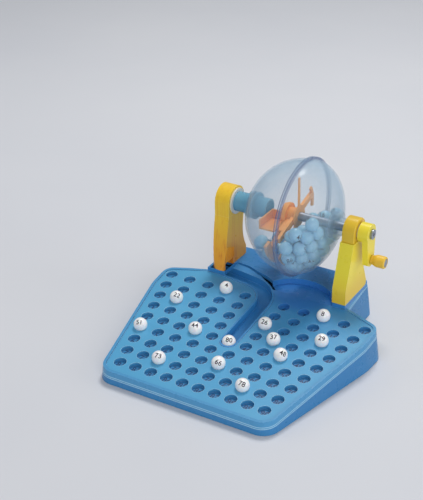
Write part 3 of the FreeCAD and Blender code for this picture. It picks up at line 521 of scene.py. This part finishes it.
def clear_plastic(name, colour, face, rim, seam):
    """Clear plastic whose alpha goes from face to rim, with a double line where x is at the seam."""
    material, tree, shader = start_material(name)
    weight = add_node(tree, "ShaderNodeLayerWeight", Blend=0.25)
    curve = remap(tree, weight.outputs["Facing"], To_Min=face, To_Max=rim)
    skin = use_group(tree, MOULD_GRAIN, Grain=700.0, Wave=30.0, Base_roughness=0.16, Roughness_spread=0.14)
    marks = use_group(tree, FINE_SCRATCHES, Amount=0.04, Density=26.0)
    alpha = maths(tree, "ADD", curve, marks.outputs["Mask"], use_clamp=True)
    cloudy = use_group(tree, CLOUDY_COLOUR, Colour=colour, Deep_colour=rgb(150, 178, 206), Size=9.0,
                       Amount=0.4)
    across = along(tree, "X")
    flanges = maths(tree, "COMPARE", across, seam, SEAM_HALF)
    between = maths(tree, "COMPARE", across, seam, GAP_HALF)
    line = maths(tree, "MULTIPLY_ADD", between, -0.75, flanges)
    seam_alpha = maths(tree, "MULTIPLY", line, 0.55)
    fill(tree, shader, Base_Color=blend(tree, line, cloudy.outputs["Colour"], rgb(104, 124, 166)),
         Alpha=maths(tree, "MAXIMUM", alpha, seam_alpha), Roughness=skin.outputs["Roughness"],
         Normal=skin_normal(tree, skin, 0.05, 0.0001), IOR=1.5, Specular_IOR_Level=0.4)
    return material


SEAM_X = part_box("left_dome")[1].x
CLEAR = clear_plastic("clear_plastic", rgb(176, 208, 230), 0.06, 0.7, SEAM_X)
print("clear plastic:", CLEAR.name, "seam at", round(SEAM_X, 4))

# %% [markdown]
# ## Translucent tube
# The outlet tube and its nut are tinted, so light goes through them but shapes don't. Alpha would
# show the shapes behind; transmission with a rough surface blurs them. The weight is a plain number
# on the shader's own socket.


# %% Make the tinted plastic
def tinted_plastic(name, colour, deep):
    material, tree, shader = start_material(name)
    cloudy = use_group(tree, CLOUDY_COLOUR, Colour=colour, Deep_colour=deep, Size=30.0, Amount=0.5)
    # painted edge highlight along the tube's edges
    edges = use_group(tree, PAINTED_EDGE_HIGHLIGHT, Colour=cloudy.outputs["Colour"], Edge_colour=rgb(206, 234, 248))
    skin = use_group(tree, MOULD_GRAIN, Base_roughness=0.22, Roughness_spread=0.12)
    fill(tree, shader, Base_Color=edges.outputs["Colour"], Roughness=skin.outputs["Roughness"],
         Normal=skin_normal(tree, skin, 0.1, 0.00008), Transmission_Weight=0.35, IOR=1.3)
    return material


TUBE_BLUE = tinted_plastic("tube_blue_plastic", rgb(136, 200, 228), rgb(96, 170, 212))
print("tinted plastic:", TUBE_BLUE.name)

# %% [markdown]
# ## Balls, print and metal
# A ball is glossy white polystyrene with a faint blue cast, and the balls behind the clear globe
# take its blue. Print is matt ink. The axle, screws and pin are plated steel with an uneven gloss.


# %% Make the ball, ink and metal finishes
def ball_plastic(name, colour, deep):
    material, tree, shader = start_material(name)
    cloudy = use_group(tree, CLOUDY_COLOUR, Colour=colour, Deep_colour=deep, Size=120.0, Amount=0.35)
    skin = use_group(tree, MOULD_GRAIN, Grain=1800.0, Wave=160.0, Base_roughness=0.2, Roughness_spread=0.1)
    marks = use_group(tree, FINE_SCRATCHES, Amount=0.1, Density=90.0)
    fill(tree, shader, Base_Color=cloudy.outputs["Colour"], Roughness=worn_gloss(tree, skin, marks),
         Normal=skin_normal(tree, skin, 0.08, 0.00005), Subsurface_Weight=0.1, Subsurface_Scale=0.001)
    return material


def printed_ink(name, colour, deep):
    material, tree, shader = start_material(name)
    cloudy = use_group(tree, CLOUDY_COLOUR, Colour=colour, Deep_colour=deep, Size=900.0, Amount=0.5)
    skin = use_group(tree, MOULD_GRAIN, Grain=5000.0, Base_roughness=0.45)
    fill(tree, shader, Base_Color=cloudy.outputs["Colour"], Roughness=skin.outputs["Roughness"])
    return material


def plated_steel(name):
    material, tree, shader = start_material(name)
    cloudy = use_group(tree, CLOUDY_COLOUR, Colour=rgb(168, 176, 188), Deep_colour=rgb(134, 142, 156),
                       Size=200.0, Amount=0.6)
    skin = use_group(tree, MOULD_GRAIN, Grain=4000.0, Wave=400.0, Base_roughness=0.42,
                     Roughness_spread=0.3)
    fill(tree, shader, Base_Color=cloudy.outputs["Colour"], Roughness=skin.outputs["Roughness"],
         Normal=skin_normal(tree, skin, 0.15, 0.00005), Metallic=1.0)
    return material


BALL_WHITE = ball_plastic("ball_white_plastic", rgb(250, 250, 250), rgb(238, 241, 246))
HEAP_WHITE = ball_plastic("heap_ball_plastic", rgb(160, 206, 230), rgb(128, 182, 214))
BLACK_INK_AND_SHADE = printed_ink("black_ink_and_shade", rgb(40, 34, 44), rgb(70, 60, 74))
NAVY_INK = printed_ink("navy_ink", rgb(20, 58, 104), rgb(30, 76, 128))
STEEL = plated_steel("plated_steel")
WHITE_PLASTIC = moulded_plastic(
    "white_plastic", rgb(226, 226, 222), rgb(206, 208, 206), rgb(244, 244, 242))
print("finishes:", BALL_WHITE.name, HEAP_WHITE.name, BLACK_INK_AND_SHADE.name, NAVY_INK.name, STEEL.name)

# %% [markdown]
# ## Give every piece its finish
# The record already says which finish each piece takes. Naming a material for each of forty-two
# pieces would say it twice, so one table turns the record's finishes into materials, and the two
# pieces that differ from their neighbours are named after it.

# %% Assign the finishes
FINISHES = {
    "tray_blue": TRAY_BLUE, "board_blue": BOARD_BLUE, "chute_blue": CHUTE_BLUE,
    "platform_blue": PLATFORM_BLUE, "tube_blue": TUBE_BLUE, "clear_plastic": CLEAR,
    "amber_plastic": AMBER, "yellow_plastic": YELLOW, "grip_plastic": GRIP,
    "orange_plastic": ORANGE, "white_plastic": WHITE_PLASTIC, "ball_white": BALL_WHITE, "steel": STEEL,
}
SLOTS = {part["node"]: part["material_slot"] for part in frame["record"]["subparts"]}


def paint(piece, material):
    piece.data.materials.clear()
    piece.data.materials.append(material)


for node, piece in NODES.items():
    paint(piece, FINISHES[SLOTS[node]])
paint(NODES["cage_balls"], HEAP_WHITE)
# the right head takes the darker yellow, painted shade
paint(NODES["right_head"], SHADED_HEAD_YELLOW)
print("painted:", len(NODES))

# %% [markdown]
# ## Softened edges
# No moulding has a knife edge. The engineering solids do, so each gets a small Bevel modifier. The
# solids come with split vertices, which a Weld joins first, and weighted normals keep the big faces
# flat. Modifiers leave the mesh itself alone, which is the rule for engineering pieces.

# %% Soften the edges of the mouldings
JOIN_DISTANCE = 0.002 * MM
SHARPER_THAN = math.radians(32)


def soften(node, width):
    """Round a piece's sharp edges by a width."""
    piece = NODES[node]
    weld = piece.modifiers.new("join", "WELD")
    weld.merge_threshold = JOIN_DISTANCE
    bevel = piece.modifiers.new("round", "BEVEL")
    bevel.width = width
    bevel.segments = 3
    bevel.limit_method = "ANGLE"
    bevel.angle_limit = SHARPER_THAN
    bevel.use_clamp_overlap = True
    bevel.miter_outer = "MITER_ARC"
    normals = piece.modifiers.new("normals", "WEIGHTED_NORMAL")
    normals.weight = 60
    normals.keep_sharp = True


SOFT_EDGES = {
    "base_tray": 0.7 * MM, "cage_platform": 0.6 * MM, "number_board": 0.35 * MM, "ball_chute": 0.3 * MM,
    "left_upright": 0.9 * MM, "left_head": 0.9 * MM, "right_upright": 0.9 * MM, "right_head": 0.9 * MM,
    "crank_arm": 0.8 * MM, "mixer_blade": 0.5 * MM, "left_rake": 0.5 * MM, "right_rake": 0.4 * MM,
    "ball_ladle": 0.4 * MM, "outlet_tube": 0.3 * MM, "drive_hub": 0.3 * MM,
}
for node, width in SOFT_EDGES.items():
    soften(node, width)
print("softened:", len(SOFT_EDGES), "mouldings")

# %% [markdown]
# ## Digits as thin raised print
# Text objects make clean digits, but a flat digit would cut through a round ball. So each digit is
# made once, divided into small triangles, and kept as plain points and faces. A copy can then be
# laid on the flat floor of a socket or wrapped onto a ball.

# %% Make the ten digits
DIGITS = "0123456789"
CAP_HEIGHT = 0.72           # a digit's height, as a part of the font's size
INK_SPREAD = 0.022          # how much the ink thickens a stroke, as a part of the digit's height


def add_object(name, data):
    made = bpy.data.objects.new(name, data)
    bpy.context.scene.collection.objects.link(made)
    return made


def digit_mesh(character, height, finest):
    """Points and triangles of one digit, centred on its own middle."""
    curve = bpy.data.curves.new("digit", "FONT")
    curve.body = character
    curve.size = height / CAP_HEIGHT
    curve.align_x = "CENTER"
    curve.offset = height * INK_SPREAD
    holder = add_object("digit", curve)
    mesh = bpy.data.meshes.new_from_object(holder)
    bm = bmesh.new()
    bm.from_mesh(mesh)
    bpy.data.objects.remove(holder)
    bpy.data.meshes.remove(mesh)
    bmesh.ops.triangulate(bm, faces=bm.faces)
    for _ in range(4):
        long_edges = [edge for edge in bm.edges if edge.calc_length() > finest]
        if not long_edges:
            break
        bmesh.ops.subdivide_edges(bm, edges=long_edges, cuts=1)
        bmesh.ops.triangulate(bm, faces=bm.faces)
    points = np.array([vertex.co for vertex in bm.verts])
    faces = [[vertex.index for vertex in face.verts] for face in bm.faces]
    bm.free()
    points[:, 1] -= height / 2
    return points[:, :2], faces


BALL_DIGITS = {digit: digit_mesh(digit, 4.3 * MM, 1.0 * MM) for digit in DIGITS}
SOCKET_DIGITS = {digit: digit_mesh(digit, 5.4 * MM, 4.0 * MM) for digit in DIGITS}
BALL_SPACING = 3.1 * MM
SOCKET_SPACING = 3.9 * MM
print("digit faces:", {digit: len(made[1]) for digit, made in BALL_DIGITS.items()})

# %% [markdown]
# ## Laying the print down
# One function gathers the digits of many numbers into a single mesh. It takes a rule that turns a
# flat point of the digit into a place in the world, so the same code prints on floors and on balls.


# %% Lay numbers down with a placing rule
def print_numbers(name, body, ink, digits, spacing, jobs):
    """One piece holding the digits of many numbers; each job is a number and its placing rule."""
    points, faces = [], []
    for number, place in jobs:
        text = str(number)
        for position, character in enumerate(text):
            shift = (position - (len(text) - 1) / 2) * spacing
            start = len(points)
            flat_points, flat_faces = digits[character]
            points += [place(x + shift, y) for x, y in flat_points]
            faces += [[start + i for i in face] for face in flat_faces]
    mesh = bpy.data.meshes.new(name)
    mesh.from_pydata(points, [], faces)
    mesh.shade_smooth()
    piece = add_object(name, mesh)
    mesh.materials.append(ink)
    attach(piece, body)
    return piece


INK_LIFT = 0.03 * MM


def on_socket_floor(across, up):
    """A rule that lays a flat point on the floor of one socket."""
    def place(x, y):
        return on_deck(across + x, up + y, INK_LIFT - SOCKET_DEEP)
    return place


def on_ball(centre, facing, upwards):
    """A rule that wraps a flat point onto a ball, about the point that faces one way."""
    facing = facing.normalized()
    right = upwards.cross(facing).normalized()
    top = facing.cross(right)
    radius = BALL_RADIUS + INK_LIFT

    def place(x, y):
        turn_x, turn_y = x / radius, y / radius
        turn = math.hypot(turn_x, turn_y)
        ray = facing * math.cos(turn)
        reach = math.sin(turn) / max(turn, 1e-9)
        return centre + (ray + (right * turn_x + top * turn_y) * reach) * radius
    return place


print("placing rules ready")

# %% [markdown]
# ## Numbers in the sockets
# Each socket has its number printed on its floor, so that the ball has a home. Reading runs from
# the back row to the front, left to right. An image on the floor would need unwrapping; ninety
# numbers laid down as geometry need only the places worked out above.

# %% Print the socket numbers
socket_jobs = [(number + 1, on_socket_floor(*place)) for number, place in enumerate(SOCKETS)]
socket_numbers = print_numbers("socket_numbers", "base", NAVY_INK, SOCKET_DIGITS, SOCKET_SPACING,
                               socket_jobs)
print("socket numbers:", len(socket_jobs), "faces:", len(socket_numbers.data.polygons))

# %% [markdown]
# ## Numbers on the balls
# A drawn ball is dropped in by hand, so its number lies a little askew near the top. A seeded random
# turn gives each ball its own pose, the same on every run.

# %% Print the drawn balls
TOWARDS_PLAYER = Vector((0.42, -0.62, 0.9))
LAST_BALL = 80
dice = random.Random(12)
DRAWN = [int(node[5:]) for node in sorted(NODES) if node.startswith("ball_") and node[5:].isdigit()]


def askew(direction, spread):
    return direction + Vector([dice.uniform(-spread, spread) for _ in range(3)])


for number in DRAWN:
    node = f"ball_{number:02d}"
    facing = askew(TOWARDS_PLAYER, 0.22)
    upwards = Vector((-0.3 + dice.uniform(-0.2, 0.2), 1, 0.3))
    job = (number, on_ball(middle(node), facing, upwards))
    print_numbers(f"print_{number:02d}", f"drawn_{number:02d}", BLACK_INK_AND_SHADE, BALL_DIGITS, BALL_SPACING, [job])
last_job = (LAST_BALL, on_ball(middle("chute_ball"), TOWARDS_PLAYER, Vector((-0.4, 1, 0.3))))
print_numbers(f"print_{LAST_BALL}", "last_ball", BLACK_INK_AND_SHADE, BALL_DIGITS, BALL_SPACING, [last_job])
print("printed:", DRAWN, "and", LAST_BALL)

# %% [markdown]
# ## Finding single balls and screws
# Balls in the heap, and screws of one kind, share one mesh. Flooding from point to point along the
# edges separates them again, and the box round each gives its middle.


# %% A helper that separates the solids of one node
def loose_boxes(node):
    """Lowest and highest corner of each separate solid of a node, in the order of its points."""
    bm = bmesh.new()
    bm.from_mesh(NODES[node].data)
    bmesh.ops.remove_doubles(bm, verts=bm.verts, dist=JOIN_DISTANCE)
    bm.verts.index_update()
    seen = bytearray(len(bm.verts))
    boxes = []
    for first in bm.verts:
        if seen[first.index]:
            continue
        seen[first.index] = 1
        waiting, points = [first], []
        while waiting:
            vertex = waiting.pop()
            points.append(vertex.co)
            for edge in vertex.link_edges:
                other = edge.other_vert(vertex)
                if not seen[other.index]:
                    seen[other.index] = 1
                    waiting.append(other)
        points = np.array(points)
        boxes.append((Vector(points.min(axis=0)), Vector(points.max(axis=0))))
    bm.free()
    return boxes


print("screws under the board:", len(loose_boxes("board_screws")))

# %% [markdown]
# ## Numbers on the heap
# The other balls lie in the globe. Each gets a number that isn't out on the board, turned any way.
# They could share one printed ball, copied, but then the heap would show the same number over and
# over, so every ball has its own.

# %% Print the balls in the globe
heap_centres = [(low + high) / 2 for low, high in loose_boxes("cage_balls")]
left_over = [number for number in range(1, 91) if number not in DRAWN and number != LAST_BALL]
dice.shuffle(left_over)
heap_jobs = []
for number, centre in zip(left_over, heap_centres):
    facing = Vector([dice.uniform(-1, 1) for _ in range(3)])
    heap_jobs.append((number, on_ball(centre, facing, Vector((dice.uniform(-1, 1), 0.3, 1)))))
heap_numbers = print_numbers("heap_numbers", "heap", BLACK_INK_AND_SHADE, BALL_DIGITS, BALL_SPACING, heap_jobs)
print("heap balls:", len(heap_centres), "faces:", len(heap_numbers.data.polygons))

# %% [markdown]
# ## Small solid pieces
# Ribs and screw recesses are short bars. A function makes one block from its corner points with
# rounded edges, and many blocks go into one mesh, because they are one moulding with their host.


# %% A helper for moulded blocks
def moulded_blocks(name, body, material, blocks, rounding):
    """Blocks, each a list of eight corners (bottom four, then top four), as one piece."""
    bm = bmesh.new()
    for corners in blocks:
        made = [bm.verts.new(corner) for corner in corners]
        for face in ((3, 2, 1, 0), (4, 5, 6, 7), (0, 1, 5, 4), (1, 2, 6, 5), (2, 3, 7, 6), (3, 0, 4, 7)):
            bm.faces.new([made[i] for i in face])
    bmesh.ops.recalc_face_normals(bm, faces=bm.faces)
    bmesh.ops.bevel(bm, geom=bm.edges, offset=rounding, segments=2, profile=0.6, affect="EDGES",
                    clamp_overlap=True)
    mesh = bpy.data.meshes.new(name)
    bm.to_mesh(mesh)
    bm.free()
    mesh.shade_smooth()
    piece = add_object(name, mesh)
    mesh.materials.append(material)
    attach(piece, body)


def rectangle(wide, deep):
    """Four corners about the origin, in turn."""
    return [(-wide / 2, -deep / 2), (wide / 2, -deep / 2), (wide / 2, deep / 2), (-wide / 2, deep / 2)]


def upright_block(x, y, z_low, z_high, wide, deep):
    """Corners of an upright bar about x, y."""
    return [Vector((x + px, y + py, z)) for z in (z_low, z_high) for px, py in rectangle(wide, deep)]


print("block helper ready")

# %% [markdown]
# ## Ribs on the left upright
# The foot of the ball column has a row of thin upright ribs on its inner side, over the mouth where
# a ball rolls out. They stiffen the thin wall, and they catch the light as fine streaks. Streaks of
# colour would do from afar, but the ribs are short bars, so they are made as bars.

# %% Add the ribs
RIBS = 6
RIB_START = 59.0 * MM
RIB_PITCH = 2.6 * MM
RIB_WIDE = 0.9 * MM
RIB_TALL = 15               # in millimetres; each next rib is one shorter
MOUTH_TOP = 41.2 * MM
rib_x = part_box("left_upright")[1].x + 0.2 * MM
rib_blocks = []
for i in range(RIBS):
    rib_y = RIB_START + i * RIB_PITCH
    rib_top = MOUTH_TOP + (RIB_TALL - i) * MM
    rib_blocks.append(upright_block(rib_x, rib_y, MOUTH_TOP, rib_top, RIB_WIDE, RIB_WIDE))
moulded_blocks("column_ribs", "base", AMBER, rib_blocks, 0.2 * MM)
print("ribs:", len(rib_blocks))

# %% [markdown]
# ## Cross recesses in the screws
# Every screw head under the base has a cross for the screwdriver. Cutting it would mean changing an
# engineering piece. A black plus sign, just proud of the head's face, reads as that recess instead:
# painted shade where the recess is dark.

# %% Add the cross recesses
CROSS_PROUD = 0.04 * MM
CROSS_DEEP = 0.5 * MM
CROSS_ROUNDING = 0.05 * MM
SCREW_CROSS = ((3.0 * MM, 0.8 * MM), (0.8 * MM, 3.0 * MM))
cross_blocks = []
for node in ("board_screws", "platform_screws", "upright_screws"):
    for low, high in loose_boxes(node):
        x, y = (low.x + high.x) / 2, (low.y + high.y) / 2
        for wide, deep in SCREW_CROSS:
            cross_blocks.append(upright_block(x, y, low.z - CROSS_PROUD, low.z + CROSS_DEEP, wide, deep))
# black plus signs: painted shade in the screws' cross recesses
moulded_blocks("screw_crosses", "base", BLACK_INK_AND_SHADE, cross_blocks, CROSS_ROUNDING)
print("screws:", len(cross_blocks) // 2)

# %% [markdown]
# ## Cross in the crank's screw
# The screw that holds the crank lies on the axle and faces right, so its cross stands on end. The
# same blocks serve, with their corners set out along x instead of upwards, and they turn with the
# crank. This black cross is painted shade for the recess as well.

# %% Add the crank's cross
CRANK_CROSS = ((4.2 * MM, 1.0 * MM), (1.0 * MM, 4.2 * MM))
axle = middle("crank_screw")
screw_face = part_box("crank_screw")[1].x
ends = (screw_face - CROSS_DEEP, screw_face + CROSS_PROUD)
crank_blocks = []
for deep, tall in CRANK_CROSS:
    plan = rectangle(deep, tall)
    crank_blocks.append([Vector((x, axle.y + py, axle.z + pz)) for x in ends for py, pz in plan])
# painted shade for the crank screw's cross recess
moulded_blocks("crank_cross", "cage", BLACK_INK_AND_SHADE, crank_blocks, CROSS_ROUNDING)
print("crank screw at", [round(value, 4) for value in axle])

# %% [markdown]
# ## Floor
# A pale floor with a very slight mottle, large enough for every view. A plain white world would save
# it, but then the object would float, with no shadow under it.

# %% Lay the floor
FLOOR_SIZE = 8.0
FLOOR_DROP = 0.3 * MM       # keeps the floor clear of the base's underside


def pale_floor():
    bm = bmesh.new()
    bmesh.ops.create_grid(bm, x_segments=2, y_segments=2, size=FLOOR_SIZE)
    mesh = bpy.data.meshes.new("floor")
    bm.to_mesh(mesh)
    bm.free()
    floor = add_object("floor", mesh)
    floor.location.z = -FLOOR_DROP
    material, tree, shader = start_material("pale_floor")
    cloudy = use_group(tree, CLOUDY_COLOUR, Colour=rgb(214, 216, 222), Deep_colour=rgb(206, 209, 217),
                       Size=3.0, Amount=0.5)
    fill(tree, shader, Base_Color=cloudy.outputs["Colour"], Roughness=0.7)
    mesh.materials.append(material)


pale_floor()
print("floor laid")

# %% [markdown]
# ## Light
# A soft light high behind the globe throws its shadow forward onto the board. Lower down, the board
# would mirror that light into the camera and go white. Three wide fills, one in front on the right
# and one at each side, lift the walls, and a pale sky lights the rest.


# %% Set the lights
def soft_light(name, place, target, size, watts, colour):
    light = bpy.data.lights.new(name, "AREA")
    light.shape = "DISK"
    light.size = size
    light.energy = watts
    light.color = colour
    lamp = add_object(name, light)
    lamp.location = place
    lamp.rotation_euler = (Vector(target) - Vector(place)).to_track_quat("-Z", "Y").to_euler()


MIDDLE = (0, 0, 0.05)
soft_light("back_light", (-0.15, 0.75, 1.5), MIDDLE, 0.5, 14, (1.0, 0.99, 0.97))
soft_light("front_fill", (1.2, -1.3, 0.8), MIDDLE, 1.4, 15, (1.0, 0.99, 0.98))
soft_light("right_fill", (1.6, 0.5, 0.6), MIDDLE, 1.0, 5, (1.0, 0.99, 0.97))
soft_light("left_fill", (-1.4, -0.6, 0.8), MIDDLE, 0.9, 3, (1.0, 0.99, 0.97))
world = bpy.data.worlds.new("studio")
bpy.context.scene.world = world
world.use_nodes = True
fill(world.node_tree, world.node_tree.nodes["Background"], Color=(0.86, 0.89, 0.93, 1), Strength=0.33)
print("lights set")

# %% [markdown]
# ## Camera
# The view is from the front right, about thirty degrees up, through a long lens. Turning the camera
# to place the object in the frame would change its outline; a small lens shift moves it without
# turning anything.

# %% Place the camera
camera = bpy.data.cameras.new("camera")
camera.lens = 80.25
camera.sensor_width = 36
camera.shift_x = -0.057
camera.shift_y = 0.10
holder = add_object("camera", camera)
view_right = Vector((0.8685, 0.4957, 0.0))
view_up = Vector((-0.2540, 0.4451, 0.8587))
view_back = Vector((0.4256, -0.7458, 0.5125))
view_from = Vector((0.4084, -0.7256, 0.5434))
aim = Matrix((view_right, view_up, view_back)).transposed().to_4x4()
holder.matrix_world = Matrix.Translation(view_from) @ aim
bpy.context.scene.camera = holder
bpy.context.scene.view_settings.view_transform = "Standard"
print("camera at", tuple(round(value, 3) for value in holder.location))
